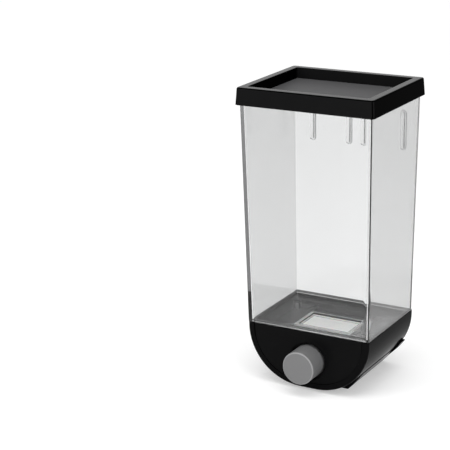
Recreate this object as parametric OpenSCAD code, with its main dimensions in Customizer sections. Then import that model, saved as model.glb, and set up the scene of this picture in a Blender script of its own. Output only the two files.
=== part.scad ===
// Dry food dispenser: clear hopper bin, lift-off lid and a press button that pulls a gate open.
// Millimetres, Z up, the button faces -Y.
// Origin: centre of the footprint, on the plane the foot stands on.

/* [Bin] */
// Outer width of the bin at its bottom edge
bin_bottom_w = 97.2; // [88:0.4:106]
// Outer depth of the bin at its bottom edge
bin_bottom_d = 77.2; // [72:0.4:90]
// Outer width of the bin at its rim
bin_top_w = 102.4; // [96:0.4:112]
// Outer depth of the bin at its rim
bin_top_d = 84.4; // [78:0.4:96]
// Height of the bin from bottom edge to rim
bin_h = 173.6; // [100:1:260]
// Wall of the bin
bin_wall = 2; // [1.4:0.1:3]
// Outer radius of the four upright corners
bin_corner_r = 1.8; // [1.2:0.1:4]
// Slope of the hopper floor in degrees
hopper_slope = 8; // [6:0.5:12]
// Thickness of the ledge between the foot of the walls and the hopper
hopper_ledge = 1.4; // [1.2:0.1:2]
// Thickness of the hopper floor
hopper_t = 2; // [1.4:0.1:3]

/* [Outlet] */
// Depth of the outlet's upper edge below the bottom edge of the bin
outlet_drop = 5.2; // [4.6:0.2:6]
// Width of the outlet at the foot of the hopper
outlet_w = 40; // [28:1:42]
// Depth of the outlet from front to back
outlet_d = 25; // [20:0.5:28]
// Wall of the collar round the outlet
collar_wall = 2; // [1.4:0.1:2.6]
// Height of the collar from the hopper's lower edge to its end
collar_h = 3; // [2.6:0.1:4]
// Thickness of the silicone wiper pushed over the collar
wiper_t = 1.4; // [1:0.1:2]

/* [Hanging rails] */
// Distance of the two outer rails from the middle
outer_rail_x = 36; // [30:0.5:40]
// Distance of the two inner rails from the middle
inner_rail_x = 6; // [5:0.5:12]
// Width of the rail heads
rail_w = 5; // [4:0.2:7]
// Width of the rail necks
rail_neck_w = 2.6; // [1.6:0.2:3.4]
// Thickness of the rail heads
rail_head_t = 1.2; // [1:0.1:1.6]
// Length of a rail
rail_len = 30; // [20:1:50]
// Distance from the bin's rim down to the top of the rails
rail_from_rim = 23; // [18:1:50]

/* [Lid] */
// Height of the lid's skirt
lid_h = 12.6; // [11:0.2:18]
// Thickness of the lid's skirt at the lower edge
lid_skirt_t = 2.2; // [1.6:0.1:3]
// Thickness of the rim across the top of the lid
lid_top_t = 2.2; // [1.6:0.1:3]
// Inward lean of the skirt on each side
lid_draft = 0.8; // [0:0.1:1.2]
// Outer radius of the lid's four upright corners
lid_corner_r = 2.2; // [2:0.1:5]
// Width of the broken edge round the top of the lid
lid_edge = 0.7; // [0.3:0.1:1]
// Wall of the plug that drops into the bin
plug_wall = 1.6; // [1.2:0.1:2.4]
// Depth of the recess in the top of the lid
recess_depth = 8; // [5:0.5:8.6]
// Thickness of the panel in the recess
panel_t = 1.6; // [1:0.1:2]
// Width of the ledge that carries the panel
ledge_w = 3; // [2:0.5:6]
// Height of the silicone seal round the plug
seal_h = 3; // [2:0.2:4]

/* [Base] */
// Height of the base under the bin, without its foot
base_h = 44.1; // [42:0.5:56]
// Radius of the two lower edges of the base
base_r = 42; // [30:0.5:44]
// Wall of the base
base_wall = 2.2; // [1.6:0.1:2.8]
// Rounding of the front edge of the base
base_edge_r = 2; // [1:0.2:3]
// Width of the frame round the front cover
cover_rim = 4.8; // [4:0.2:7]
// Drop of the foot and the rear rim below the base
foot_drop = 1.6; // [1:0.2:4]
// Width of the flat that the foot stands on
foot_flat_w = 50.8; // [40:0.4:56]
// Angle below level at which the sides of the foot leave the round of the base
foot_leave = 33; // [12:1:36]
// Length of the foot from its front end to behind the mouth of the chute
mouth_len = 25.2; // [22:0.2:30]
// Length of the rim round the rear end of the base
rear_rim_len = 8; // [5:0.5:16]
// Angle below level at which the rear rim starts
rear_rim_leave = 33; // [10:1:40]

/* [Button] */
// Diameter of the button
button_d = 24.6; // [22:0.2:26]
// Distance that the button stands out of the front
button_out = 15; // [13:0.5:24]
// Travel of the button and the gate
travel = 12; // [8:0.5:12.5]
// Depth of the button's axis below the bottom edge of the bin
button_drop = 23.2; // [22:0.2:24]
// Wall of the button
button_wall = 1.8; // [1.4:0.1:2.4]
// Width of the dark gap round the button
button_gap = 2.2; // [1.2:0.1:2.6]
// Depth of the dark gap round the button
button_gap_depth = 4; // [2:0.2:4.4]

/* [Gate and spring] */
// Thickness of the gate
gate_t = 2.2; // [1.6:0.1:2.6]
// Thickness of the gate housing's plate
plate_t = 2; // [1.6:0.1:3]
// Wall of the outlet chute
chute_wall = 1.6; // [1.2:0.1:2]
// Thickness of the push bracket
bracket_t = 2.2; // [2:0.1:2.6]
// Wire diameter of the return spring
wire_d = 1; // [0.7:0.1:1.2]
// Outer diameter of the return spring
spring_d = 11; // [9:0.2:11.4]
// Turns of the return spring
turns = 10; // [7:1:12]

/* [Clearances] */
// Gap between pieces that move past each other
run_gap = 0.3; // [0.2:0.05:0.4]
// Gap between pieces that are only put together
fit_gap = 0.2; // [0.1:0.05:0.3]
// Gap between the bin's rim and the lid's skirt
lid_gap = 0.3; // [0.2:0.05:0.5]
// Gap between the bin's wall and the lid's plug
plug_gap = 1; // [0.8:0.1:1.4]

/* [Hidden] */

// Node to draw; "all" draws the whole dispenser

$fn = 64;
eps = 0.01;

// Heights: standing plane, foot of the base, seam between base and bin, rim and lid
base_z = foot_drop;
seat_z = base_z + base_h;
rim_z = seat_z + bin_h;
lid_top_z = rim_z + lid_gap + lid_top_t;
lid_low_z = lid_top_z - lid_h;

// Front and rear of the base, seen from the middle of the bin
front_y = -bin_bottom_d / 2;
rear_y = bin_bottom_d / 2;

// Outer depth of the bin at a height over its bottom edge
function lerp(a, b, t) = a + (b - a) * t;
function bin_d_at(h) = lerp(bin_bottom_d, bin_top_d, h / bin_h);

// Hopper and outlet levels
outlet_z = seat_z - outlet_drop;
collar_z = outlet_z - collar_h;
collar_w = outlet_w + 2 * collar_wall;
collar_d = outlet_d + 2 * collar_wall;
// Height of the hopper floor at a distance from the middle, along X
function floor_z(x) = outlet_z + (x - outlet_w / 2) * tan(hopper_slope);
// Underside of the hopper floor at a distance from the middle, along X
function under_z(x) = outlet_z - hopper_t + (x - collar_w / 2) * tan(hopper_slope);

// Gate and housing levels
gate_top_z = collar_z - run_gap;
gate_low_z = gate_top_z - gate_t;
plate_top_z = gate_low_z - run_gap;
plate_low_z = plate_top_z - plate_t;
gate_w = collar_w + 2 * wiper_t + 4;
guide_w = gate_w + 2 * run_gap;

// Chute: straight tube under the front part of the outlet
chute_front = -outlet_d / 2 - 0.2;
chute_w = outlet_w - 3;
foot_lead = 8.2;
foot_front = chute_front - chute_wall - foot_lead;
chute_back = foot_front + mouth_len - 1.8 - fit_gap - chute_wall;
chute_low_z = base_z + 0.4;

// Push chain, from the chute forwards
button_z = seat_z - button_drop;
bracket_back = chute_front - chute_wall - run_gap - travel;
bracket_front = bracket_back - bracket_t;
flange_t = 1.5;
flange_front = bracket_front - flange_t;
sleeve_end = flange_front - run_gap;
button_front = front_y - button_out;
button_r = button_d / 2;
flange_r = button_r + 2.1;
sleeve_bore_r = button_r + run_gap;
hole_r = button_r + button_gap;
sleeve_r = hole_r + 1.6;
button_face_t = 2;
button_floor = button_front + button_face_t;
spigot_len = 10;

// Gate: closed part, window and front bar
close_front = -collar_d / 2;
close_back = collar_d / 2;
window_front = -outlet_d / 2 - travel - 0.1;
bar_front = bracket_front - 1.3;
tenon_x = 13;
tenon_w = 5;
bracket_margin = 3;
bracket_drop = 13;

// Screws: one size for the housing, one for the push bracket
boss_r = 3.2;
boss_x = bin_bottom_w / 2 - base_wall - 6.2;
boss_y = 24;
boss_top_z = floor_z(boss_x - boss_r) - 0.2;
house_screw_r = 1.25;
house_screw_len = 7;
small_screw_r = 0.9;
small_screw_len = 5.4;
small_screw_x = 8.6;
small_head_r = 1.9;
small_head_t = 1.1;

// Tongue round the hopper that the base snaps onto
tongue_t = 1.4;
tongue_h = 4;
tongue_w = bin_bottom_w - 2 * (base_wall + fit_gap);
tongue_d = bin_bottom_d - 2 * (base_wall + 1.6 + 0.35);
tongue_in_w = tongue_w - 2 * tongue_t;
tongue_in_d = tongue_d - 2 * tongue_t;
snap_y = 14;
snap_len = 6;
snap_deep = 0.9;
// Notches at the foot of the bin's front wall
notch_x = 28;
notch_w = 5;
notch_h = 1.2;
notch_deep = 1.2;
notch_z = seat_z + 2.6;

// Lid plug, recess and panel
lid_w = bin_top_w + 2 * (lid_gap + lid_skirt_t);
lid_d = bin_top_d + 2 * (lid_gap + lid_skirt_t);
lid_top_w = lid_w - 2 * lid_draft;
lid_top_d = lid_d - 2 * lid_draft;
plug_w = bin_top_w - 2 * (bin_wall + plug_gap);
plug_d = bin_top_d - 2 * (bin_wall + plug_gap);
recess_w = plug_w - 2 * plug_wall;
recess_d = plug_d - 2 * plug_wall;
recess_r = 0.6;
panel_top_z = lid_top_z - recess_depth;
panel_low_z = panel_top_z - panel_t;
plug_low_z = panel_low_z - 1.2;
seal_z = plug_low_z + 1;
seal_sink = 0.5;

// Rear face of the rails stands level with the rear edge of the lid
rail_back = lid_d / 2;
rail_top_z = rim_z - rail_from_rim;

// The whole part is shifted so that its footprint is centred
origin_y = -(button_front + rail_back) / 2;

// Flat shape with four round corners
module rounded_rect(w, d, r) {
    square([w - 2 * r, d], center = true);
    square([w, d - 2 * r], center = true);
    for (sx = [-1, 1], sy = [-1, 1])
        translate([sx * (w / 2 - r), sy * (d / 2 - r)])
            circle(r = r);
}

// Upright block with round corners between two heights
module block(w, d, r, z0, z1) {
    translate([0, 0, z0])
        linear_extrude(height = z1 - z0)
            rounded_rect(w, d, r);
}

// Upright block that changes size between two heights; its slopes may run on past both ends
module taper(w0, d0, z0, w1, d1, z1, r = 0, below = 0, above = 0) {
    low = -below / (z1 - z0);
    high = 1 + above / (z1 - z0);
    w = lerp(w0, w1, low);
    d = lerp(d0, d1, low);
    translate([0, 0, z0 - below])
        linear_extrude(height = z1 - z0 + below + above, slices = 1,
                       scale = [lerp(w0, w1, high) / w, lerp(d0, d1, high) / d])
            if (r > 0)
                rounded_rect(w, d, r, $fn = 32);
            else
                square([w, d], center = true);
}

// Box given by its two opposite corners
module box(a, b) {
    translate(a)
        cube(b - a);
}

// Flat shape in X and Z carried along Y
module along_y(y0, y1) {
    translate([0, y1, 0])
        rotate([90, 0, 0])
            linear_extrude(height = y1 - y0)
                children();
}

// Round bar along Y
module bar_y(r, y0, y1, x, z) {
    translate([x, y1, z])
        rotate([90, 0, 0])
            cylinder(r = r, h = y1 - y0);
}

// Front outline of the base in X and Z, drawn inset from its outer skin
lower_r = min(base_r, base_h - 1, bin_bottom_w / 2 - 1);
lower_x = bin_bottom_w / 2 - lower_r;
lower_z = base_z + lower_r;
module base_outline(inset, top_z) {
    half = bin_bottom_w / 2 - inset;
    intersection() {
        union() {
            for (s = [-1, 1])
                translate([s * lower_x, lower_z])
                    circle(r = lower_r - inset, $fn = 160);
            translate([-lower_x, base_z + inset])
                square([2 * lower_x, top_z - base_z - inset]);
            translate([-half, lower_z])
                square([2 * half, top_z - lower_z]);
        }
        translate([-half, base_z + inset])
            square([2 * half, top_z - base_z - inset]);
    }
}

// Outline of the foot: two large arcs that leave the round of the base and end at a flat
leave_x = lower_x + lower_r * cos(foot_leave);
leave_z = lower_z - lower_r * sin(foot_leave);
foot_run = [foot_flat_w / 2 - leave_x, -leave_z];
foot_dir = [cos(foot_leave), -sin(foot_leave)];
foot_r = -(foot_run * foot_run) / (2 * foot_run * foot_dir);
module foot_outline() {
    for (s = [-1, 1])
        intersection() {
            translate([s * (leave_x - foot_r * foot_dir[0]), leave_z - foot_r * foot_dir[1]])
                circle(r = foot_r, $fn = 240);
            translate([s > 0 ? -eps : -bin_bottom_w / 2 + eps, 0])
                square([bin_bottom_w / 2, lower_z - lower_r * sin(foot_leave + 10)]);
        }
}

// Outline of the rear rim: the round of the base let out by the drop of the foot
module rim_outline() {
    intersection() {
        base_outline(-foot_drop, seat_z);
        translate([-bin_bottom_w / 2, 0])
            square([bin_bottom_w, lower_z - lower_r * sin(rear_rim_leave)]);
    }
}

// Screw with a cross recess, head down, standing on the underside of its head at z = 0
module screw(shank_r, shank_len, head_r, head_t) {
    difference() {
        union() {
            translate([0, 0, -head_t])
                cylinder(r = head_r, h = head_t);
            translate([0, 0, -eps])
                cylinder(r = shank_r, h = shank_len);
        }
        for (a = [0, 90])
            rotate([0, 0, a])
                translate([-head_r * 0.6, -0.25, -head_t - eps])
                    cube([head_r * 1.2, 0.5, head_t * 0.6]);
    }
}

// Lid: skirt over the rim of the bin, raised rim and a plug with a sunk top
module lid_frame() {
    color([0.06, 0.06, 0.065])
        difference() {
            taper(lid_w, lid_d, lid_low_z, lid_top_w, lid_top_d, lid_top_z, lid_corner_r);
            // Broken edge round the top
            difference() {
                block(lid_w + 2, lid_d + 2, lid_corner_r, lid_top_z - 1.5 * lid_edge, lid_top_z + 1);
                taper(lid_top_w, lid_top_d, lid_top_z - lid_edge, lid_top_w - 2 * lid_edge,
                      lid_top_d - 2 * lid_edge, lid_top_z, lid_corner_r, below = lid_edge, above = 2);
            }
            // Room for the rim of the bin
            difference() {
                block(bin_top_w + 2 * lid_gap, bin_top_d + 2 * lid_gap, bin_corner_r + lid_gap,
                      lid_low_z - 1, rim_z + lid_gap);
                block(plug_w, plug_d, bin_corner_r, plug_low_z, rim_z + 1);
            }
            // Groove for the seal
            difference() {
                block(plug_w + 1, plug_d + 1, bin_corner_r, seal_z, seal_z + seal_h);
                block(plug_w - 2 * seal_sink, plug_d - 2 * seal_sink, bin_corner_r - seal_sink,
                      seal_z - 1, seal_z + seal_h + 1);
            }
            // Recess above the panel, and the opening inside its ledge
            block(recess_w, recess_d, recess_r, panel_low_z, lid_top_z + 1);
            block(recess_w - 2 * ledge_w, recess_d - 2 * ledge_w, recess_r, plug_low_z - 1, lid_top_z);
        }
}

// Panel glued into the sunk top of the lid
module lid_panel() {
    color([0.2, 0.2, 0.21])
        block(recess_w - 2 * fit_gap, recess_d - 2 * fit_gap, recess_r, panel_low_z, panel_top_z);
}

// Silicone ring in the groove of the plug, with two lips towards the bin
module lid_seal() {
    lip = seal_h / 5;
    color([0.85, 0.85, 0.83])
        difference() {
            union() {
                block(plug_w, plug_d, bin_corner_r, seal_z, seal_z + seal_h);
                for (k = [1, 3])
                    block(plug_w + 1.4, plug_d + 1.4, bin_corner_r,
                          seal_z + k * lip, seal_z + (k + 1) * lip);
            }
            block(plug_w - 2 * seal_sink, plug_d - 2 * seal_sink, bin_corner_r - seal_sink,
                  seal_z - 1, seal_z + seal_h + 1);
        }
}

// Rail with a narrow neck and a wide head, both with round ends
module rail(x) {
    head_y = rail_back - rail_head_t;
    root_y = bin_d_at(rail_top_z - rail_len - seat_z) / 2 - bin_wall / 2;
    for (part = [[rail_neck_w, root_y, head_y], [rail_w, head_y, rail_back]])
        along_y(part[1], part[2])
            union() {
                translate([x - part[0] / 2, rail_top_z - rail_len + rail_w / 2])
                    square([part[0], rail_len - rail_w]);
                for (z = [rail_top_z - rail_w / 2, rail_top_z - rail_len + rail_w / 2])
                    translate([x, z])
                        circle(r = part[0] / 2, $fn = 32);
            }
}

// Space above the four slopes that rise from a rectangle at the given height
module above_slopes(w, d, z) {
    run = bin_bottom_w / 2;
    taper(w, d, z, w + 2 * run, d + 2 * run, z + run * tan(hopper_slope), below = 0.4, above = 2);
}

// Bin: leaning walls, hopper floor, outlet collar, tongue, screw bosses and hanging rails
module bin() {
    color([0.88, 0.91, 0.92, 0.35])
        difference() {
            union() {
                taper(bin_bottom_w, bin_bottom_d, seat_z, bin_top_w, bin_top_d, rim_z, bin_corner_r);
                // Tongue and hopper floor in one
                intersection() {
                    above_slopes(collar_w, collar_d, outlet_z - hopper_t);
                    block(tongue_w, tongue_d, 1.6, collar_z, seat_z + hopper_ledge / 2);
                }
                block(collar_w, collar_d, 1, collar_z, outlet_z);
                for (sx = [-1, 1], sy = [-1, 1])
                    translate([sx * boss_x, sy * boss_y, plate_top_z])
                        cylinder(r = boss_r, h = boss_top_z - plate_top_z);
                for (s = [-1, 1]) {
                    rail(s * outer_rail_x);
                    rail(s * inner_rail_x);
                }
            }
            // Inside of the walls, down to the ledge
            taper(bin_bottom_w - 2 * bin_wall, bin_bottom_d - 2 * bin_wall, seat_z,
                  bin_top_w - 2 * bin_wall, bin_top_d - 2 * bin_wall, rim_z,
                  below = -hopper_ledge, above = 1);
            // Inside of the hopper, and the outlet
            intersection() {
                above_slopes(outlet_w, outlet_d, outlet_z);
                block(tongue_in_w, tongue_in_d, 0.6, collar_z, seat_z + 2 * hopper_ledge);
            }
            translate([-outlet_w / 2, -outlet_d / 2, collar_z - 1])
                cube([outlet_w, outlet_d, collar_h + 1.4]);
            // Pilot holes for the housing screws
            for (sx = [-1, 1], sy = [-1, 1])
                translate([sx * boss_x, sy * boss_y, plate_top_z - 1])
                    cylinder(r = house_screw_r + 0.05, h = house_screw_len + 0.6 - plate_t + 1, $fn = 32);
            // Pockets in the tongue for the snaps of the base
            for (sx = [-1, 1], sy = [-1, 1])
                translate([sx * tongue_w / 2, sy * snap_y, seat_z - 2.5])
                    cube([2 * snap_deep, snap_len + 0.8, 1.8], center = true);
            // Notches at the foot of the front wall for lifting the bin off the snaps
            for (s = [-1, 1])
                box([s * notch_x - notch_w / 2, front_y - 1, notch_z],
                    [s * notch_x + notch_w / 2, front_y + notch_deep, notch_z + notch_h]);
        }
}

// Silicone wiper pushed over the collar, just clear of the gate
module gate_seal() {
    color([0.9, 0.9, 0.88])
        difference() {
            block(collar_w + 2 * wiper_t, collar_d + 2 * wiper_t, 1.6, collar_z - 0.1, outlet_z - hopper_t);
            block(collar_w, collar_d, 1, collar_z - 1, outlet_z);
        }
}

// Base shell: round underside, foot round the chute's mouth, rear rim, open top and front
module base_shell() {
    color([0.05, 0.05, 0.055])
        union() {
            difference() {
                union() {
                    along_y(front_y + base_edge_r, rear_y)
                        base_outline(0, seat_z);
                    rounded_front();
                    along_y(foot_front, rear_y)
                        foot_outline();
                    along_y(rear_y - rear_rim_len, rear_y)
                        rim_outline();
                }
                along_y(front_y + base_wall, rear_y - base_wall)
                    base_outline(base_wall, seat_z + 1);
                along_y(front_y - 1, front_y + base_wall + eps)
                    base_outline(cover_rim, seat_z + 1);
                box([-chute_w / 2 - chute_wall - fit_gap, chute_front - chute_wall - fit_gap, -1],
                    [chute_w / 2 + chute_wall + fit_gap, chute_back + chute_wall + fit_gap, seat_z / 2]);
            }
            // Snaps on the side walls
            for (sx = [-1, 1], sy = [-1, 1])
                translate([sx * (bin_bottom_w / 2 - base_wall), sy * snap_y, seat_z - 2.5])
                    cube([1.6, snap_len, 1], center = true);
        }
}

// Section of the front end of the base: flat, with a round outer edge
module edge_section(reach) {
    square([reach - base_edge_r, base_edge_r]);
    intersection() {
        translate([reach - base_edge_r, 0])
            circle(r = base_edge_r, $fn = 32);
        square([reach, base_edge_r]);
    }
}

// Front end of the base: the section carried down both sides, round both corners and along the foot
module rounded_front() {
    translate([0, front_y + base_edge_r, 0])
        rotate([90, 0, 0]) {
            for (s = [0, 1])
                mirror([s, 0, 0]) {
                    translate([0, seat_z, 0])
                        rotate([90, 0, 0])
                            linear_extrude(height = seat_z - lower_z)
                                edge_section(bin_bottom_w / 2);
                    translate([lower_x, lower_z, 0])
                        rotate([0, 0, -90])
                            rotate_extrude(angle = 90, $fn = 160)
                                edge_section(lower_r);
                }
            translate([0, lower_z, 0])
                rotate([90, 0, -90])
                    linear_extrude(height = 2 * lower_x, center = true)
                        edge_section(lower_r);
        }
}

// Front cover: plate in the frame of the base, flange behind it and the sleeve of the button
module front_cover() {
    plate_y = front_y + base_wall;
    flange_y = plate_y + 1.6;
    color([0.07, 0.07, 0.075])
        difference() {
            union() {
                along_y(front_y + 0.6, plate_y)
                    base_outline(cover_rim + fit_gap, seat_z);
                along_y(plate_y, flange_y)
                    base_outline(base_wall + fit_gap, seat_z - tongue_h - 0.6);
                bar_y(sleeve_r, plate_y, sleeve_end, 0, button_z);
            }
            bar_y(hole_r, front_y - 1, front_y + button_gap_depth, 0, button_z);
            bar_y(sleeve_bore_r, front_y, sleeve_end + 1, 0, button_z);
        }
}

// Gate housing: plate under the bin with guides for the gate, the chute and the spring's spigot
module gate_housing() {
    ear_x = boss_x + boss_r + 0.3;
    ear_y = boss_y + boss_r + 0.6;
    tube_front = chute_front - chute_wall;
    guide_top_z = under_z(guide_w / 2 - 1.8) - 0.4;
    color([0.12, 0.12, 0.125])
        difference() {
            union() {
                block(2 * ear_x, 2 * ear_y, 3, plate_low_z, plate_top_z);
                // Side guides with a lip over the edges of the gate
                for (s = [-1, 1]) {
                    translate([s * (guide_w / 2 + 1), 0, 0])
                        box([-1, -ear_y, plate_top_z - eps], [1, ear_y, gate_top_z + run_gap + eps]);
                    translate([s * (guide_w / 2 + 0.1), 0, 0])
                        box([-1.9, -ear_y, gate_top_z + run_gap], [1.9, ear_y, guide_top_z]);
                }
                box([-chute_w / 2 - chute_wall, tube_front, chute_low_z],
                    [chute_w / 2 + chute_wall, chute_back + chute_wall, plate_low_z + eps]);
                bar_y(spring_d / 2 - wire_d - 0.6, tube_front - spigot_len, tube_front + eps, 0, button_z);
            }
            // Way for the food
            box([-chute_w / 2, chute_front, chute_low_z - 1], [chute_w / 2, chute_back, plate_top_z + 1]);
            // Room for the push bracket and the button in front of the chute
            box([-flange_r - 4, -ear_y - 1, plate_low_z - 1], [flange_r + 4, tube_front, plate_top_z + 1]);
            for (sx = [-1, 1], sy = [-1, 1])
                translate([sx * boss_x, sy * boss_y, plate_low_z - 1])
                    cylinder(r = house_screw_r + 0.2, h = plate_t + 2, $fn = 32);
        }
}

// Four screws that hold the gate housing to the bosses of the bin
module housing_screws() {
    color([0.72, 0.73, 0.75])
        for (sx = [-1, 1], sy = [-1, 1])
            translate([sx * boss_x, sy * boss_y, plate_low_z])
                screw(house_screw_r, house_screw_len, 2.6, 1.6);
}

// Gate: plate that closes the outlet, with the window and the front bar that the bracket holds
module gate_slide() {
    color([0.86, 0.86, 0.84])
        difference() {
            box([-gate_w / 2, bar_front, gate_low_z], [gate_w / 2, close_back, gate_top_z]);
            box([-chute_w / 2, window_front, gate_low_z - 1], [chute_w / 2, close_front, gate_top_z + 1]);
            box([tenon_w / 2 - tenon_x, bar_front - 1, gate_low_z - 1],
                [tenon_x - tenon_w / 2, bracket_front + fit_gap, gate_top_z + 1]);
            for (s = [-1, 1])
                translate([s * tenon_x, 0, 0])
                    box([-tenon_w / 2 - 0.05, bracket_front, gate_low_z - 1],
                        [tenon_w / 2 + 0.05, bracket_back, gate_top_z + 1]);
        }
}

// Push bracket: plate behind the button, two tenons up into the gate
module push_bracket() {
    color([0.8, 0.8, 0.78])
        difference() {
            union() {
                box([-tenon_x - bracket_margin, bracket_front, button_z - bracket_drop],
                    [tenon_x + bracket_margin, bracket_back, gate_low_z]);
                for (s = [-1, 1])
                    translate([s * tenon_x, 0, 0])
                        box([-tenon_w / 2, bracket_front, gate_low_z - eps],
                            [tenon_w / 2, bracket_back, gate_top_z]);
            }
            bar_y(spring_d / 2 + 0.5, bracket_front - 1, bracket_back + 1, 0, button_z);
            for (s = [-1, 1]) {
                bar_y(small_screw_r + 0.15, bracket_front - 1, bracket_back + 1,
                      s * small_screw_x, button_z);
                bar_y(small_head_r + 0.2, bracket_back - small_head_t, bracket_back + 1,
                      s * small_screw_x, button_z);
            }
        }
}

// Two screws that hold the bracket to the button
module bracket_screws() {
    color([0.72, 0.73, 0.75])
        for (s = [-1, 1])
            translate([s * small_screw_x, bracket_back - small_head_t, button_z])
                rotate([90, 0, 0])
                    screw(small_screw_r, small_screw_len, small_head_r, small_head_t);
}

// Button: hollow cap with a rounded front edge, a stop flange and two screw posts inside
module button() {
    len = bracket_front - button_front;
    edge = 1.2;
    color([0.5, 0.5, 0.51])
        translate([0, button_front, button_z])
            rotate([-90, 0, 0])
                difference() {
                    union() {
                        difference() {
                            rotate_extrude()
                                union() {
                                    square([button_r - edge, len]);
                                    translate([0, edge])
                                        square([button_r, len - edge]);
                                    translate([0, len - flange_t])
                                        square([flange_r, flange_t]);
                                    intersection() {
                                        translate([button_r - edge, edge])
                                            circle(r = edge, $fn = 32);
                                        square([button_r, len]);
                                    }
                                }
                            translate([0, 0, button_face_t])
                                cylinder(r = button_r - button_wall, h = len);
                        }
                        for (s = [-1, 1])
                            translate([s * small_screw_x, 0, 1])
                                cylinder(r = 2.2, h = len - 1, $fn = 32);
                    }
                    for (s = [-1, 1])
                        translate([s * small_screw_x, 0, len - small_screw_len])
                            cylinder(r = small_screw_r + 0.05, h = small_screw_len + 1, $fn = 32);
                }
}

// Return spring between the button's floor and the chute: one helix with closer end turns
spring_start = button_floor + wire_d / 2 + 0.02;
spring_end = chute_front - chute_wall - wire_d / 2 - 0.02;
spring_r = (spring_d - wire_d) / 2;
end_pitch = wire_d + 0.6;
mid_pitch = (spring_end - spring_start - 2 * end_pitch) / (turns - 2);
function spring_y(u) = spring_start
    + end_pitch * min(u, 1)
    + mid_pitch * max(0, min(u, turns - 1) - 1)
    + end_pitch * max(0, u - turns + 1);
rings = 8 * turns;
sides = 6;
spring_mid = [for (i = [0 : rings])
    [spring_r * cos(45 * i), spring_y(i / 8), button_z + spring_r * sin(45 * i)]];
spring_gap = min([for (i = [0 : rings - 5], j = [i + 5 : rings])
    norm(spring_mid[i] - spring_mid[j])]) - wire_d;

module return_spring() {
    echo(spring_least_gap = spring_gap);
    points = [for (i = [0 : rings], k = [0 : sides - 1])
        let (a = 45 * i, b = 360 * k / sides, out = wire_d / 2 * cos(b))
            spring_mid[i] + [out * cos(a), wire_d / 2 * sin(b), out * sin(a)]];
    walls = [for (i = [0 : rings - 1], k = [0 : sides - 1])
        let (n = (k + 1) % sides)
            [i * sides + k, i * sides + n, (i + 1) * sides + n, (i + 1) * sides + k]];
    first = [for (k = [sides - 1 : -1 : 0]) k];
    last = [for (k = [0 : sides - 1]) rings * sides + k];
    color([0.75, 0.76, 0.78])
        polyhedron(points, concat(walls, [first, last]), convexity = 10);
}

// Moves a piece to the shared origin
module placed() {
    translate([0, origin_y, 0])
        children();
}

placed() lid_frame();
placed() lid_panel();
placed() lid_seal();
placed() bin();
placed() gate_seal();
placed() base_shell();
placed() front_cover();
placed() gate_housing();
placed() housing_screws();
placed() gate_slide();
placed() push_bracket();
placed() bracket_screws();
placed() button();
placed() return_spring();
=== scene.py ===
import math

import bpy
import numpy as np
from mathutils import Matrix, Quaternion, Vector


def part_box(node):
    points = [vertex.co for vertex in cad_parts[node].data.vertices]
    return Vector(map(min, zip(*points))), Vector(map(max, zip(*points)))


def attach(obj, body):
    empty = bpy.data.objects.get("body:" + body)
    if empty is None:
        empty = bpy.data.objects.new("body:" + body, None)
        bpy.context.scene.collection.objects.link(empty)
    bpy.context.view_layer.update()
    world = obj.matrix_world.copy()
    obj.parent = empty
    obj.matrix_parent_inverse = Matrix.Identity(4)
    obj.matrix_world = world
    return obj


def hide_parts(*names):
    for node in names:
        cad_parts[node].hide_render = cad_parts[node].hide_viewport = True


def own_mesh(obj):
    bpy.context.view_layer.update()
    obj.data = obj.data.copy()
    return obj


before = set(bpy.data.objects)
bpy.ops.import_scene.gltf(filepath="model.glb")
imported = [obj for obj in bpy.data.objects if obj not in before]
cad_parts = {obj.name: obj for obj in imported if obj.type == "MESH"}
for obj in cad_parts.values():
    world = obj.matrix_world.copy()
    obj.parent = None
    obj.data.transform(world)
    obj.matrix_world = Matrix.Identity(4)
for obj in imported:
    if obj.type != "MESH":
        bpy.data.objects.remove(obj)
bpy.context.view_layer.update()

# The view: a long lens a little above the dispenser and to the right of its front.
# The place is in metres from the middle of the footprint; the lens is given as it was
# measured, in pixels of a square picture.
view_azimuth, view_elevation, view_roll = 30.434, 17.222, -1.148
view_place = (0.46027, -0.93127, 0.43983)
lens_px, picture_px = 1493.85, 450

lens = bpy.data.cameras.new("view")
lens.sensor_width = 36
lens.lens = lens_px / picture_px * lens.sensor_width
camera = bpy.data.objects.new("view", lens)
bpy.context.collection.objects.link(camera)
turn, rise = math.radians(view_azimuth), math.radians(view_elevation)
towards_lens = Vector((math.sin(turn) * math.cos(rise), -math.cos(turn) * math.cos(rise), math.sin(rise)))
camera.location = view_place
camera.rotation_mode = "QUATERNION"
camera.rotation_quaternion = ((-towards_lens).to_track_quat("-Z", "Y")
                              @ Quaternion((0, 0, 1), math.radians(view_roll)))
bpy.context.scene.camera = camera
bpy.context.scene.view_settings.view_transform = "Standard"


# The set: a matt white table top that runs on behind the dispenser, under an even surround.
# Three soft lamps light it: a large one overhead and weaker ones at the front left and at the right.
# Table and surround read as white to the lens and in the clear walls, up to where the room darkens.
table_half, table_grey = 6.0, 0.78
near_lift, far_lift, lift_from, lift_to = 0.35, 0.47, 0.7, 1.9
surround_light = 0.62
dark_from, dark_to, dark_light = -0.2, -0.55, 0.3
lamp_aim = (0, 0, 0.1)


def reckon(tree, operation, *values):
    """Math node in a node tree, fed by numbers or by other nodes' sockets; gives its result's socket."""
    step = tree.nodes.new("ShaderNodeMath")
    step.operation = operation
    for socket, value in zip(step.inputs, values):
        if isinstance(value, (int, float)):
            socket.default_value = value
        else:
            tree.links.new(value, socket)
    return step.outputs[0]


def graded(tree, value, start, end, first, last):
    """First where a value is at the start of a range, last where it is at the end, even between them."""
    grade = tree.nodes.new("ShaderNodeMapRange")
    for name, number in (("From Min", start), ("From Max", end), ("To Min", first), ("To Max", last)):
        grade.inputs[name].default_value = number
    tree.links.new(value, grade.inputs["Value"])
    return grade.outputs["Result"]


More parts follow.
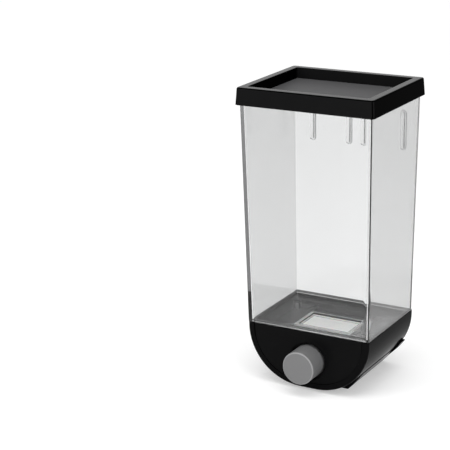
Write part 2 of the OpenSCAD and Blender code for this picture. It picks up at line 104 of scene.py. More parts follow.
def parts_of(tree, vector):
    """The X, Y and Z sockets of a vector."""
    split = tree.nodes.new("ShaderNodeSeparateXYZ")
    tree.links.new(vector, split.inputs[0])
    return split.outputs


def own_place(tree):
    """The socket of a piece's own coordinates, in metres."""
    return tree.nodes.new("ShaderNodeTexCoord").outputs["Object"]


def seen_directly(tree):
    """1 for rays from the lens, from a reflection or through a clear wall, 0 for rays that carry light."""
    path = tree.nodes.new("ShaderNodeLightPath")
    not_through = reckon(tree, "MAXIMUM", path.outputs["Is Camera Ray"], path.outputs["Is Glossy Ray"])
    return reckon(tree, "MAXIMUM", not_through, path.outputs["Is Transmission Ray"])


def either_shader(tree, share, first, second, output):
    """Mixes two shaders by a share of the second and puts the mix out as the surface."""
    either = tree.nodes.new("ShaderNodeMixShader")
    for socket, source in zip(either.inputs, (share, first.outputs[0], second.outputs[0])):
        tree.links.new(source, socket)
    tree.links.new(either.outputs[0], tree.nodes[output].inputs["Surface"])


def new_finish(name):
    """New material, with its node tree and its Principled shader."""
    made = bpy.data.materials.new(name)
    made.use_nodes = True
    return made, made.node_tree, made.node_tree.nodes["Principled BSDF"]


def table_finish():
    """Matt white table top that keeps shadows, lifted to white for the lens by a little emission.

    The emission grows with the distance from the dispenser, as the lamps' light falls off.
    """
    made, tree, skin = new_finish("table_white")
    skin.inputs["Base Color"].default_value = (table_grey, table_grey, table_grey, 1)
    skin.inputs["Roughness"].default_value = 0.9
    skin.inputs["Specular IOR Level"].default_value = 0.1
    skin.inputs["Emission Color"].default_value = (1, 1, 1, 1)
    away = tree.nodes.new("ShaderNodeVectorMath")
    away.operation = "LENGTH"
    tree.links.new(own_place(tree), away.inputs[0])
    lift = graded(tree, away.outputs["Value"], lift_from, lift_to, near_lift, far_lift)
    tree.links.new(reckon(tree, "MULTIPLY", seen_directly(tree), lift), skin.inputs["Emission Strength"])
    return made


table_mesh = bpy.data.meshes.new("table")
table_mesh.from_pydata([(-table_half, -table_half, 0), (table_half, -table_half, 0),
                        (table_half, table_half, 0), (-table_half, table_half, 0)], [], [(0, 1, 2, 3)])
table = bpy.data.objects.new("table", table_mesh)
table_mesh.materials.append(table_finish())
bpy.context.collection.objects.link(table)

surround = bpy.data.worlds.new("surround")
bpy.context.scene.world = surround
surround.use_nodes = True
room = surround.node_tree
lit = room.nodes["Background"]
lit.inputs["Color"].default_value = (1, 1, 1, 1)
lit.inputs["Strength"].default_value = surround_light
white = room.nodes.new("ShaderNodeBackground")
white.inputs["Color"].default_value = (1, 1, 1, 1)
ray_drop = parts_of(room, room.nodes.new("ShaderNodeNewGeometry").outputs["Incoming"])["Z"]
room.links.new(graded(room, ray_drop, dark_from, dark_to, 1, dark_light), white.inputs["Strength"])
either_shader(room, seen_directly(room), lit, white, "World Output")


def soft_lamp(name, place, side, watts):
    """Square soft lamp of the given side at a place, facing the dispenser."""
    lamp = bpy.data.lights.new(name, "AREA")
    lamp.size = side
    lamp.energy = watts
    holder = bpy.data.objects.new(name, lamp)
    holder.location = place
    holder.rotation_mode = "QUATERNION"
    holder.rotation_quaternion = (Vector(lamp_aim) - Vector(place)).to_track_quat("-Z", "Y")
    bpy.context.collection.objects.link(holder)


soft_lamp("lamp_overhead", (0.15, -0.35, 1.5), 1.1, 10)
soft_lamp("lamp_front_left", (-1.1, -1.3, 0.9), 0.8, 7)
soft_lamp("lamp_right", (1.2, -0.8, 0.55), 0.6, 4.5)


# Base shell: the round-bottomed black tub that carries the mechanism, with a foot and a rear rim below.
# Injection moulded ABS with a polished skin; it snaps onto the tongue under the clear bin.
base_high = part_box("base_shell")[1]
gloss_black = (0.005, 0.005, 0.0052)
haze_scale, grain_share, relief_strength = 38.0, 0.5, 0.6


def moulded_skin():
    """Node group for a moulded plastic skin, on the piece's own coordinates.

    Colour is the given colour made up to Spread lighter or darker by slow haze. Roughness is the
    given one moved by the haze and a fine grain. Height is the grain, whose scale is set per metre.
    """
    group = bpy.data.node_groups.new("moulded_skin", "ShaderNodeTree")
    face = group.interface
    face.new_socket("Colour", in_out="INPUT", socket_type="NodeSocketColor")
    for name in ("Spread", "Roughness", "Rough spread", "Grain"):
        face.new_socket(name, in_out="INPUT", socket_type="NodeSocketFloat")
    face.new_socket("Colour", in_out="OUTPUT", socket_type="NodeSocketColor")
    face.new_socket("Roughness", in_out="OUTPUT", socket_type="NodeSocketFloat")
    face.new_socket("Height", in_out="OUTPUT", socket_type="NodeSocketFloat")
    given = group.nodes.new("NodeGroupInput").outputs
    made = group.nodes.new("NodeGroupOutput").inputs
    place = own_place(group)

    def noise(detail):
        """Noise on the piece's own coordinates: the socket of its scale and that of its value."""
        pattern = group.nodes.new("ShaderNodeTexNoise")
        pattern.inputs["Detail"].default_value = detail
        group.links.new(place, pattern.inputs["Vector"])
        return pattern.inputs["Scale"], pattern.outputs["Fac"]

    slow, haze = noise(3.0)
    slow.default_value = haze_scale
    fine, grain = noise(2.0)
    group.links.new(given["Grain"], fine)
    speck = reckon(group, "MULTIPLY", reckon(group, "SUBTRACT", grain, 0.5), grain_share)
    both = reckon(group, "ADD", reckon(group, "SUBTRACT", haze, 0.5), speck)
    shade = group.nodes.new("ShaderNodeHueSaturation")
    group.links.new(given["Colour"], shade.inputs["Color"])
    group.links.new(reckon(group, "MULTIPLY_ADD", both, given["Spread"], 1.0), shade.inputs["Value"])
    group.links.new(shade.outputs["Color"], made["Colour"])
    group.links.new(reckon(group, "MULTIPLY_ADD", both, given["Rough spread"], given["Roughness"]),
                    made["Roughness"])
    group.links.new(grain, made["Height"])
    return group


skin_group = moulded_skin()


def lay_skin(tree, shader, colour, roughness, spread, rough_spread, grain, depth, strength):
    """Lays the moulded skin on a shader as roughness and relief; gives the socket of the skin's colour.

    depth is the grain's relief in metres, of which strength is the share that shows.
    """
    skin = tree.nodes.new("ShaderNodeGroup")
    skin.node_tree = skin_group
    for name, value in (("Colour", (*colour, 1)), ("Spread", spread), ("Roughness", roughness),
                        ("Rough spread", rough_spread), ("Grain", grain)):
        skin.inputs[name].default_value = value
    relief = tree.nodes.new("ShaderNodeBump")
    relief.inputs["Distance"].default_value = depth
    relief.inputs["Strength"].default_value = strength
    tree.links.new(skin.outputs["Roughness"], shader.inputs["Roughness"])
    tree.links.new(skin.outputs["Height"], relief.inputs["Height"])
    tree.links.new(relief.outputs["Normal"], shader.inputs["Normal"])
    return skin.outputs["Colour"]


def moulded_finish(name, colour, roughness, spread=0.3, rough_spread=0.1, grain=1800.0, depth=0.00001,
                   shine=0.5):
    """Plastic material: the moulded skin on a Principled shader, as polished black unless told otherwise."""
    made, tree, plastic = new_finish(name)
    shade = lay_skin(tree, plastic, colour, roughness, spread, rough_spread, grain, depth, relief_strength)
    tree.links.new(shade, plastic.inputs["Base Color"])
    plastic.inputs["Specular IOR Level"].default_value = shine
    return made


def dress(node, finish):
    """Gives a frame node its finish."""
    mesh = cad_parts[node].data
    mesh.materials.clear()
    mesh.materials.append(finish)


dress("base_shell", moulded_finish("black_gloss", gloss_black, 0.18, shine=0.012))


# Front cover: the black plate set into the frame of the base, with the sleeve of the button.
# Moulded in the same black, a touch less polished; held by the rim of the base and the bin's tongue.
cover_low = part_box("front_cover")[0]
base_r, cover_rim, seam_w = 0.042, 0.0048, 0.0009
seam_shade_black = (0.0005, 0.0005, 0.0005)


def tint_where(finish, mask, colour):
    """Gives a finish another colour where a mask is 1."""
    tree = finish.node_tree
    base_colour = tree.nodes["Principled BSDF"].inputs["Base Color"]
    mix = tree.nodes.new("ShaderNodeMix")
    mix.data_type = "RGBA"
    mix.inputs["B"].default_value = (*colour, 1)
    tree.links.new(mask, mix.inputs["Factor"])
    tree.links.new(base_colour.links[0].from_socket, mix.inputs["A"])
    tree.links.new(mix.outputs["Result"], base_colour)


def paint_seam_shade(finish):
    """Paints shade in black on the cover along its outline, where the gap to the frame keeps the light off.

    The outline is two upright lines that run into two arcs: the length of the outward part of the way
    from an arc's middle, less the arc's radius, is the distance outside it.
    """
    def step(operation, *values):
        """Math node in the cover's finish."""
        return reckon(finish.node_tree, operation, *values)

    place = parts_of(finish.node_tree, own_place(finish.node_tree))
    arc_r = base_r - cover_rim
    aside = step("MAXIMUM", step("SUBTRACT", step("ABSOLUTE", place["X"]), base_high.x - base_r), 0)
    below = step("MAXIMUM", step("SUBTRACT", cover_low.z + arc_r, place["Z"]), 0)
    reach = step("SQRT", step("ADD", step("MULTIPLY", aside, aside), step("MULTIPLY", below, below)))
    tint_where(finish, step("GREATER_THAN", reach, arc_r - seam_w), seam_shade_black)


cover_black = moulded_finish("cover_black", gloss_black, 0.24, shine=0.025)
# Painted shade: a thin black line along the cover's outline, for the shadow in the gap.
paint_seam_shade(cover_black)
dress("front_cover", cover_black)


# Gate housing: the plate under the hopper with the gate's guides and the food chute.
# Black ABS as it leaves the mould, with an even matt texture; four screws hold it to the bin.
dress("gate_housing", moulded_finish("housing_black", (0.016, 0.016, 0.017), 0.55,
                                     grain=2600.0, depth=0.00003, shine=0.4))


# Screws: four under the gate housing and two behind the button.
# Zinc-plated steel with faint lathe marks across the heads.
steel_grey, lathe_marks = (0.6, 0.61, 0.62, 1), (400, 6000, 6000)
brightest, dullest = 0.2, 0.42


def plated_steel():
    """Zinc-plated steel: a bright metal whose roughness is streaked by stretched noise."""
    made, tree, metal = new_finish("plated_steel")
    metal.inputs["Base Color"].default_value = steel_grey
    metal.inputs["Metallic"].default_value = 1
    stretch = tree.nodes.new("ShaderNodeMapping")
    stretch.inputs["Scale"].default_value = lathe_marks
    streaks = tree.nodes.new("ShaderNodeTexNoise")
    streaks.inputs["Scale"].default_value = 1
    tree.links.new(own_place(tree), stretch.inputs["Vector"])
    tree.links.new(stretch.outputs["Vector"], streaks.inputs["Vector"])
    tree.links.new(graded(tree, streaks.outputs["Fac"], 0, 1, brightest, dullest), metal.inputs["Roughness"])
    return made


steel = plated_steel()
dress("housing_screws", steel)
dress("bracket_screws", steel)


# Gate and push bracket: the pale plate that closes the outlet and the yoke that the button drives.
# Natural polypropylene, waxy and slightly see-through; the yoke's tenons snap into the gate.
light_depth = 0.002


def let_light_in(finish, weight):
    """Lets a share of the light sink a little way into a finish."""
    plastic = finish.node_tree.nodes["Principled BSDF"]
    plastic.inputs["Subsurface Weight"].default_value = weight
    plastic.inputs["Subsurface Scale"].default_value = light_depth


milky = moulded_finish("milky", (0.93, 0.93, 0.91), 0.4, spread=0.06, grain=1500.0, depth=0.00002)
let_light_in(milky, 0.25)
dress("gate_slide", milky)
dress("push_bracket", milky)


# Button: the grey push cap at the front, sliding in the sleeve of the cover.
# Satin ABS with a fine even grain; two screws hold it to the yoke behind.
edge_highlight_grey, edge_lean, edge_spread = (0.3, 0.3, 0.302), 0.55, 0.37


def paint_edge_highlight(finish):
    """Paints a highlight on a rounded front edge, as a lighter grey.

    That is where the skin's normal leans forwards by a share, give or take a spread.
    """
    tree = finish.node_tree
    normal = tree.nodes.new("ShaderNodeNewGeometry").outputs["Normal"]
    on_edge = reckon(tree, "COMPARE", parts_of(tree, normal)["Y"], -edge_lean, edge_spread)
    tint_where(finish, on_edge, edge_highlight_grey)


button_grey = moulded_finish("button_grey", (0.178, 0.178, 0.18), 0.42, spread=0.06, rough_spread=0.08,
                             grain=3200.0, depth=0.00002)
# Painted highlight: the button's rounded front edge is given a lighter grey.
paint_edge_highlight(button_grey)
dress("button", button_grey)


# Return spring: ten turns of wire between the button's floor and the chute.
# Drawn spring steel; it is held by the spigot on the chute.
spring_low, spring_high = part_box("return_spring")
spring_turns, wire_r = 10, 0.0005
end_turn_share, button_travel = 0.044, 0.012
sharp_edge = math.radians(40)


def helix_tube(steps_per_turn, sides):
    """Wire along a helix about Y. u runs along the turns, v round the wire.

    The end turns take a small share of the length each and the rest share what is left evenly.
    The wire's circle stands in the plane of the radius and the axis.
    """
    radius = (spring_high.x - spring_low.x) / 2 - wire_r
    middle_z = (spring_high.z + spring_low.z) / 2
    start, end = spring_low.y + wire_r, spring_high.y - wire_r
    u = np.linspace(0, spring_turns, spring_turns * steps_per_turn + 1)[:, None]
    v = np.arange(sides)[None, :] * 2 * math.pi / sides
    share = np.interp(u, [0, 1, spring_turns - 1, spring_turns], [0, end_turn_share, 1 - end_turn_share, 1])
    out = radius + wire_r * np.cos(v)
    around = -u * 2 * math.pi
    return np.stack([out * np.cos(around), end - share * (end - start) + wire_r * np.sin(v),
                     middle_z + out * np.sin(around)], axis=2)


def ring_faces(rows, columns, close_rows):
    """Quads of a grid whose columns close on themselves, and its rows too if asked."""
    i, j = np.meshgrid(np.arange(rows if close_rows else rows - 1), np.arange(columns), indexing="ij")
    a = i * columns + j
    b = i * columns + (j + 1) % columns
    c = ((i + 1) % rows) * columns + (j + 1) % columns
    d = ((i + 1) % rows) * columns + j
    return np.stack([a, b, c, d], axis=2).reshape(-1, 4)


def smooth(mesh):
    """Shades a mesh smooth but for its sharp edges."""
    mesh.polygons.foreach_set("use_smooth", np.ones(len(mesh.polygons), bool))
    mesh.set_sharp_from_angle(angle=sharp_edge)


def skin_object(name, rings, close_rows=False):
    """Object made of rings of points; unless the rings close on themselves, the ends get a cap."""
    rows, columns = rings.shape[:2]
    faces = ring_faces(rows, columns, close_rows).tolist()
    if not close_rows:
        faces.append(list(range(columns))[::-1])
        faces.append(list(range((rows - 1) * columns, rows * columns)))
    mesh = bpy.data.meshes.new(name)
    mesh.from_pydata(rings.reshape(-1, 3).tolist(), [], faces)
    smooth(mesh)
    made = bpy.data.objects.new(name, mesh)
    bpy.context.collection.objects.link(made)
    return made


spring = skin_object("spring_coil", helix_tube(steps_per_turn=28, sides=12)[::-1])
spring.data.materials.append(steel)
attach(spring, "body")
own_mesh(spring)
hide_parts("return_spring")


# Bin: the clear hopper, one moulding with leaning walls, a sloping floor, the outlet collar,
# the tongue for the base, four screw bosses and the hanging rails at the back.
# Crystal polystyrene about 2 mm thick, polished, greyer where it is looked at along the wall.
mm = 0.001
bin_low, bin_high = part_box("bin")
lid_low, lid_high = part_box("lid_frame")
wiper_low, wiper_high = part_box("gate_seal")
middle_y = (lid_low.y + lid_high.y) / 2
wall, corner_r, inner_r = 2 * mm, 1.8 * mm, 0.8 * mm
front_edge_r, front_bend_rim, front_bend_foot = 1.2 * mm, 2 * mm, 3 * mm
rim_z, seat_z = bin_high.z, base_high.z
rim_half = (bin_high.x, middle_y - bin_low.y)
foot_half = (base_high.x, base_high.y - middle_y)
wiper_t, wiper_foot, collar_t = 1.4 * mm, 0.1 * mm, 2 * mm
collar_z, outlet_z = wiper_low.z + wiper_foot, wiper_high.z + wall
collar_half = (wiper_high.x - wiper_t, (wiper_high.y - wiper_low.y) / 2 - wiper_t)
outlet_half = (collar_half[0] - collar_t, collar_half[1] - collar_t)
tongue_in, tongue_h, tongue_t, ledge_h = (2.4 * mm, 4.15 * mm), 4.2 * mm, 1.4 * mm, 1.4 * mm
tongue_half = (foot_half[0] - tongue_in[0], foot_half[1] - tongue_in[1])
tongue_foot, ledge_z = seat_z - tongue_h, seat_z + ledge_h
hopper_half, hopper_slope = [half - tongue_t for half in tongue_half], math.tan(math.radians(8))


def eased(rings, reach, steps=5, closed=False, strip=0.0006):
    """Stack of rings in which each corner of the section is replaced by a short parabola.

    reach says how far back along both neighbouring runs a ring's parabola starts; the corner is its
    control point. A narrow strip on the run beside each parabola lets the run shade flat. Unless the
    stack closes on itself, the first and last rings stay as they are.
    """
    curve_share, strip_share = 0.4, 0.47

    def back_off(shift, more, most):
        """The rings moved along the run to a neighbour by reach and more, at most by a share of the run."""
        run = np.roll(rings, shift, axis=0) - rings
        length = np.maximum(np.linalg.norm(run, axis=2, keepdims=True), 1e-9)
        return (rings + run * np.minimum((np.asarray(reach)[:, None, None] + more) / length, most))[:, None]

    t = np.linspace(0, 1, steps)[None, :, None, None]
    start, end = back_off(1, 0, curve_share), back_off(-1, 0, curve_share)
    curve = (1 - t) ** 2 * start + 2 * t * (1 - t) * rings[:, None] + t ** 2 * end
    rows = np.concatenate([back_off(1, strip, strip_share), curve, back_off(-1, strip, strip_share)], axis=1)
    rows = rows.reshape(-1, *rings.shape[1:])
    return rows if closed else np.concatenate([rings[:1], rows[steps + 2:-steps - 2], rings[-1:]])


def four_corners(rear, front, centre_y):
    """Rings made of two rear and two front corners, each given as the columns of a right rear corner."""
    loops = []
    for corner, side, end in ((rear, 1, 1), (rear, -1, 1), (front, -1, -1), (front, 1, -1)):
        placed = corner * (side, end, 1) + (0, centre_y, 0)
        loops.append(placed if side == end else placed[:, ::-1])
    return np.concatenate(loops, axis=1)


def rounded_rings(rows, centre_y, front_r=None, arc_steps=8, strip=0.0006):
    """Rounded rectangles, one for each row of half width, half depth, corner radius and height.

    Each corner is an arc, with a narrow strip on the flats beside it so that the flats shade flat.
    The two front corners may have radii of their own.
    """
    half_w, half_d, rear_r, z = (rows[:, k][:, None] for k in range(4))
    a = np.linspace(0, math.pi / 2, arc_steps + 1)
    arc = np.stack([np.concatenate([[1], np.cos(a), [0]]), np.concatenate([[0], np.sin(a), [1]])])
    lead = np.zeros((2, arc_steps + 3))
    lead[1, 0], lead[0, -1] = -strip, -strip

    def corner(r):
        """Columns of the right rear corner, for a radius on each row."""
        x, y = half_w - r + r * arc[0] + lead[0], half_d - r + r * arc[1] + lead[1]
        return np.stack([x, y, np.repeat(z, arc_steps + 3, 1)], axis=2)

    return four_corners(corner(rear_r), corner(rear_r if front_r is None else front_r[:, None]), centre_y)


def wall_half(z, inset):
    """Half width and half depth of the bin's wall at a height, measured in from its outer face."""
    share = (z - seat_z) / (rim_z - seat_z)
    return [foot_half[k] + (rim_half[k] - foot_half[k]) * share - inset for k in (0, 1)]


def bin_rings():
    """The bin as if its hopper were solid: collar, floor, tongue, outside, rim, inside and ledge.

    A row holds the half width, the half depth, the radii of the rear and the front corners, the height
    and how far the edge is eased.
    """
    collar_r, tongue_r, floor_in = 1 * mm, 1.6 * mm, 8 * mm
    rows = np.array([
        [*collar_half, collar_r, collar_r, collar_z, 0],
        [*collar_half, collar_r, collar_r, outlet_z - wall, 0.3 * mm],
        [*tongue_half, tongue_r, tongue_r, tongue_foot, 0.3 * mm],
        [*tongue_half, tongue_r, tongue_r, seat_z, 0.1 * mm],
        [*wall_half(seat_z, 0), corner_r, front_edge_r, seat_z, 0.3 * mm],
        [*wall_half(rim_z, 0), corner_r, front_edge_r, rim_z, 0.5 * mm],
        [*wall_half(rim_z, wall), inner_r, front_bend_rim, rim_z, 0.5 * mm],
        [*wall_half(ledge_z, wall), inner_r, front_bend_foot, ledge_z, 0.25 * mm],
        [hopper_half[0] - floor_in, hopper_half[1] - floor_in, inner_r, inner_r, ledge_z, 0],
    ])
    return eased(rounded_rings(rows[:, [0, 1, 2, 4]], middle_y, front_r=rows[:, 3]), rows[:, 5])


def hopper_rings():
    """The hollow of the hopper: outlet, four equal slopes and the inside of the tongue, flared at the ledge.

    Each corner has three columns: two that cut it off and one where the side slope meets the end slope.
    """
    (a, b), (x, y), cut, flare_out = outlet_half, hopper_half, 0.5 * mm, 1.2 * mm
    side_z = outlet_z + (x - a) * hopper_slope
    end_z = outlet_z + (y - b) * hopper_slope
    outlet = [(a, b - cut), (a - cut, b), (a - 2 * cut, b)]
    tongue = [(x, y - cut), (x - cut, y), (a + y - b, y)]
    flare = np.array([0, 0, 0, 0, 1, 1]) * flare_out
    heights = [[collar_z - 1 * mm] * 3, [outlet_z] * 3, [side_z, side_z - cut * hopper_slope, end_z],
               [ledge_z + 0.1 * mm] * 3, [ledge_z + 0.5 * mm] * 3, [ledge_z + 3 * mm] * 3]
    corner = np.dstack([np.array([outlet] * 2 + [tongue] * 4) + flare[:, None, None], heights])
    return eased(four_corners(corner, corner, middle_y), np.array([0, 0.8, 0.5, 0.5, 0.3, 0]) * mm)


rail_top, rail_len, rail_w, neck_w, head_t = rim_z - 23 * mm, 30 * mm, 5 * mm, 2.6 * mm, 1.2 * mm
rail_places = (-36 * mm, -6 * mm, 6 * mm, 36 * mm)


def rail_rings(x, steps=10):
    """Hanging rail: rounded slots on end, narrow for the neck and wide for the head, stacked along Y.

    The head's edge is a half circle as thick as the head.
    """
    root = middle_y + wall_half(rail_top - rail_len, wall / 2)[1]
    face = bin_high.y - head_t
    a = np.linspace(0, math.pi, steps)
    round_x = np.concatenate([np.cos(a), -np.cos(a)])
    round_z = np.concatenate([np.sin(a), -np.sin(a)])
    end_z = np.where(np.arange(2 * steps) < steps, rail_top - rail_w / 2, rail_top - rail_len + rail_w / 2)
    edge, edge_r = np.linspace(-math.pi / 2, math.pi / 2, 9), head_t / 2
    halves = np.concatenate([[neck_w, neck_w], rail_w - 2 * edge_r * (1 - np.cos(edge))])[:, None] / 2
    depths = np.concatenate([[root, face], face + edge_r * (1 + np.sin(edge))])[:, None]
    rings = np.stack([x + halves * round_x, depths + 0 * end_z, end_z + halves * round_z], axis=2)
    return rings[::-1]


notch_x, notch_half, notch_low, notch_h, notch_deep = 28 * mm, 2.5 * mm, 2.2 * mm, 1.8 * mm, 1.3 * mm
boss_r, boss_sink, pilot_r, pilot_deep = 3.2 * mm, 0.6 * mm, 1.3 * mm, 5.6 * mm
boss_foot, boss_in, boss_off = bin_low.z, 8.4 * mm, 24 * mm
boss_places = [(side * (foot_half[0] - boss_in), middle_y + end * boss_off)
               for side in (-1, 1) for end in (-1, 1)]


def boss_posts(name, radius, low, high, sides=32):
    """Upright posts at the places of the bosses, each a circle at two heights."""
    a = np.arange(sides) * 2 * math.pi / sides
    ring = np.column_stack([radius * np.cos(a), radius * np.sin(a), np.zeros(sides)])
    return [skin_object(f"{name}_{k}", np.array([ring + (x, y, low), ring + (x, y, high)]))
            for k, (x, y) in enumerate(boss_places)]


def notch_rings(side):
    """Notch in the foot of the front wall: a slot whose floor is a ramp, as two outlines across X."""
    front, foot, past = middle_y - foot_half[1], seat_z + notch_low, 2 * mm
    outline = np.array([(front - past, foot - past), (front + notch_deep, foot + notch_deep),
                        (front + notch_deep, foot + notch_h), (front - past, foot + notch_h)])
    ends = side * notch_x + np.array([notch_half, -notch_half])
    return np.array([np.column_stack([np.full(4, end), outline]) for end in ends])


def carve(piece, tools, operation):
    """Joins shapes to a piece or cuts them from it, and leaves only the piece."""
    for tool in tools:
        step = piece.modifiers.new("step", "BOOLEAN")
        step.operation = operation
        step.solver = "EXACT"
        step.object = tool
    solid = bpy.data.meshes.new_from_object(piece.evaluated_get(bpy.context.evaluated_depsgraph_get()))
    piece.modifiers.clear()
    old = piece.data
    piece.data = solid
    bpy.data.meshes.remove(old)
    for tool in tools:
        bpy.data.objects.remove(tool)
    smooth(solid)


def clear_finish(name, grey):
    """Clear polystyrene: a refracting solid that dims light along its path, with faint flow ripples.

    The skin greys by a power of the slant at which it is looked at. Lamps shine through unbent, so that
    what stands inside is lit; so does light that has bounced often inside, later in the thick foot than
    in the walls.
    """
    greying_power, wall_bounces, foot_bounces, foot_top = 1.8, 5.5, 8.5, ledge_z + 3 * mm
    made, tree, clear = new_finish(name)
    clear.inputs["Transmission Weight"].default_value = 1
    clear.inputs["IOR"].default_value = 1.4
    shade = lay_skin(tree, clear, (grey, grey + 0.003, grey + 0.003), roughness=0.015, spread=0.02,
                     rough_spread=0.03, grain=45.0, depth=0.000004, strength=0.3)
    slant = tree.nodes.new("ShaderNodeLayerWeight")
    slant.inputs["Blend"].default_value = 0.5
    greyed = reckon(tree, "POWER", slant.outputs["Facing"], greying_power)
    tint = tree.nodes.new("ShaderNodeVectorMath")
    tint.operation = "SCALE"
    tree.links.new(shade, tint.inputs[0])
    tree.links.new(reckon(tree, "SUBTRACT", 1, greyed), tint.inputs["Scale"])
    tree.links.new(tint.outputs[0], clear.inputs["Base Color"])
    path = tree.nodes.new("ShaderNodeLightPath")
    in_foot = reckon(tree, "LESS_THAN", parts_of(tree, own_place(tree))["Z"], foot_top)
    bounces = reckon(tree, "MULTIPLY_ADD", in_foot, foot_bounces - wall_bounces, wall_bounces)
    trapped = reckon(tree, "GREATER_THAN", path.outputs["Ray Depth"], bounces)
    lamp_rays = reckon(tree, "MAXIMUM", path.outputs["Is Shadow Ray"], path.outputs["Is Diffuse Ray"])
    unbent = tree.nodes.new("ShaderNodeBsdfTransparent")
    unbent.inputs["Color"].default_value = (0.99, 0.99, 0.99, 1)
    either_shader(tree, reckon(tree, "MAXIMUM", lamp_rays, trapped), clear, unbent, "Material Output")
    dimming = tree.nodes.new("ShaderNodeVolumeAbsorption")
    dimming.inputs["Color"].default_value = (0.5, 0.51, 0.52, 1)
    dimming.inputs["Density"].default_value = 25
    tree.links.new(dimming.outputs[0], tree.nodes["Material Output"].inputs["Volume"])
    return made


def of_faces(mesh, what):
    """The X, Y and Z of the centres or the normals of a mesh's faces."""
    values = np.empty(len(mesh.polygons) * 3)
    mesh.polygons.foreach_get(what, values)
    return values.reshape(-1, 3).T


def bin_painted_shade_indices(mesh):
    """The finish of each face of the bin: 1 on the rails' edges, 2 on the front corners' edges, else 0; the
    edges get greyer copies of the clear finish, painted shade standing in for the dark lines that the light
    draws along them.

    A rail's edge lies behind the rear wall and doesn't face straight back or forwards. A front edge lies
    before the inside of the front wall, is upright and turns from the side towards the front.
    """
    square_on, turn_from, turn_to, upright, clear_of_wall = 0.97, 0.08, 0.8, 0.1, 0.2 * mm
    (x, y, z), (aside, back, up) = of_faces(mesh, "center"), of_faces(mesh, "normal")
    above_seat = z > seat_z
    on_rail = above_seat & (y > middle_y + wall_half(z, -clear_of_wall)[1]) & (np.abs(back) < square_on)
    turning = (back < -turn_from) & (back > -turn_to) & (aside * x > 0) & (np.abs(up) < upright)
    on_edge = above_seat & turning & (y < middle_y - wall_half(z, wall)[1])
    return np.select([on_rail, on_edge], [1, 2], 0).astype(np.int32)


clear_bin = skin_object("clear_bin", bin_rings())
carve(clear_bin, [skin_object("hopper", hopper_rings())], "DIFFERENCE")
carve(clear_bin,
      [skin_object(f"rail_{k}", rail_rings(x)) for k, x in enumerate(rail_places)]
      + boss_posts("boss", boss_r, boss_foot, tongue_foot + boss_sink), "UNION")
carve(clear_bin,
      [skin_object(f"notch_{side}", notch_rings(side)) for side in (-1, 1)]
      + boss_posts("pilot", pilot_r, boss_foot - 1 * mm, boss_foot + pilot_deep), "DIFFERENCE")
# The rails' edges and the front corners' edges get greyer clear finishes: painted shade for the dark lines
# along them.
for name, grey in (("clear_styrene", 0.89), ("rail_edges_painted_shade", 0.55), ("front_edges_painted_shade", 0.62)):
    clear_bin.data.materials.append(clear_finish(name, grey))
clear_bin.data.polygons.foreach_set("material_index", bin_painted_shade_indices(clear_bin.data))
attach(clear_bin, "body")
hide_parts("bin")


# Outlet wiper and lid seal: soft rings, one pushed over the collar above the gate, one in the lid's groove.
# Clear-white silicone with a dusty matt skin.
silicone = moulded_finish("silicone", (0.8, 0.8, 0.78), 0.5, spread=0.05, grain=900.0, depth=0.00002)
let_light_in(silicone, 0.3)
dress("gate_seal", silicone)
dress("lid_seal", silicone)


# Lid frame: a skirt over the rim of the bin, a flat rim on top and a plug with a sunk middle.
# Black ABS with softly broken edges, rougher at the front. Its colour is painted light and shade by the way
# each face turns: a lighter black on the front, a darker black with a stronger reflection on top, the
# darkest black on the sides, rear and inside.
# It is pushed onto the bin and lifts straight off.
panel_low, panel_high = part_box("lid_panel")
seal_low, seal_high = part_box("lid_seal")
lid_draft, skirt_t, rim_t, lid_gap = 0.8 * mm, 2.2 * mm, 2.2 * mm, 0.3 * mm
lid_corner_r, panel_gap, ledge_w, plug_wall, seal_sink = 2.2 * mm, 0.2 * mm, 3 * mm, 1.6 * mm, 0.5 * mm
lid_half = (lid_high.x, (lid_high.y - lid_low.y) / 2)


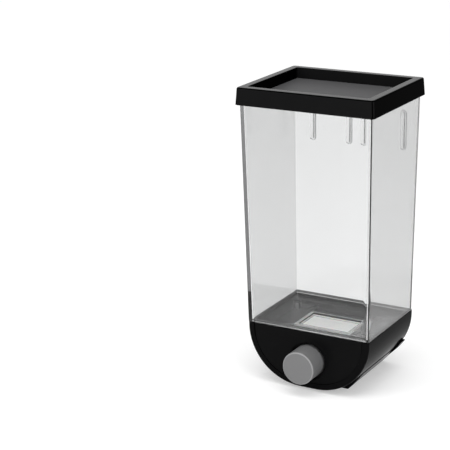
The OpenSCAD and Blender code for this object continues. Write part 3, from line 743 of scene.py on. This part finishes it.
def lid_rings():
    """Section of the lid's frame carried once round, from the lower outer edge of the skirt.

    A row holds the half width, the corner radius, the height and how far the edge is eased.
    """
    recess = panel_high.x + panel_gap
    plug = recess + plug_wall
    plug_foot = panel_low.z - 1.2 * mm
    under_rim = lid_high.z - rim_t
    rows = np.array([
        [lid_half[0], lid_corner_r, lid_low.z, 0.4 * mm],
        [lid_half[0] - lid_draft, lid_corner_r, lid_high.z, 1.3 * mm],
        [recess, inner_r, lid_high.z, 0.5 * mm],
        [recess, inner_r, panel_low.z, 0.1 * mm],
        [recess - ledge_w, inner_r, panel_low.z, 0.2 * mm],
        [recess - ledge_w, inner_r, plug_foot, 0.2 * mm],
        [plug, corner_r, plug_foot, 0.4 * mm],
        [plug, corner_r, seal_low.z, 0.1 * mm],
        [plug - seal_sink, corner_r, seal_low.z, 0.1 * mm],
        [plug - seal_sink, corner_r, seal_high.z, 0.1 * mm],
        [plug, corner_r, seal_high.z, 0.1 * mm],
        [plug, corner_r, under_rim, 0.3 * mm],
        [lid_half[0] - skirt_t, corner_r + lid_gap, under_rim, 0.3 * mm],
        [lid_half[0] - skirt_t, corner_r + lid_gap, lid_low.z, 0.3 * mm],
    ])
    half_depth = rows[:, :1] - lid_half[0] + lid_half[1]
    rings = rounded_rings(np.hstack([rows[:, :1], half_depth, rows[:, 1:3]]), middle_y)
    return eased(rings, rows[:, 3], closed=True)


def lid_light_and_shade_indices(mesh):
    """The finish of each face of the lid, as painted light and shade: 2 on what faces up, 1 on the front and
    its corners, else 0.
    """
    square_on, corner_ahead, corner_aside, eased_up = 0.9, 0.17, 0.7, 0.3
    aside, back, up = of_faces(mesh, "normal")
    at_front = (back < -square_on) | ((back < -corner_ahead) & (np.abs(aside) > corner_aside))
    return np.select([up > square_on, at_front & (up < eased_up)], [2, 1], 0).astype(np.int32)


lid_frame = skin_object("lid_rim", lid_rings(), close_rows=True)
# Three copies of one black, as painted light and shade: darkest on the sides, rear and inside, lighter on
# the front, between on top with more reflection.
for finish in (moulded_finish("lid_rest_painted_shade", (0.0006, 0.0006, 0.0006), 0.18, shine=0.002),
               moulded_finish("lid_front_painted_light", (0.009, 0.009, 0.0092), 0.3, shine=0.004),
               moulded_finish("lid_top_painted_shade", (0.003, 0.003, 0.0032), 0.18, shine=0.095)):
    lid_frame.data.materials.append(finish)
lid_frame.data.polygons.foreach_set("material_index", lid_light_and_shade_indices(lid_frame.data))
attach(lid_frame, "lid")
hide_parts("lid_frame")


# Lid panel: the flat inlay in the sunk top of the lid.
# Dark grey ABS with a spark-eroded matt texture, glued onto the ledge.
dress("lid_panel", moulded_finish("panel_grey", (0.084, 0.084, 0.086), 0.55, spread=0.12, rough_spread=0.12,
                                  grain=3000.0, depth=0.00005, shine=0.3))
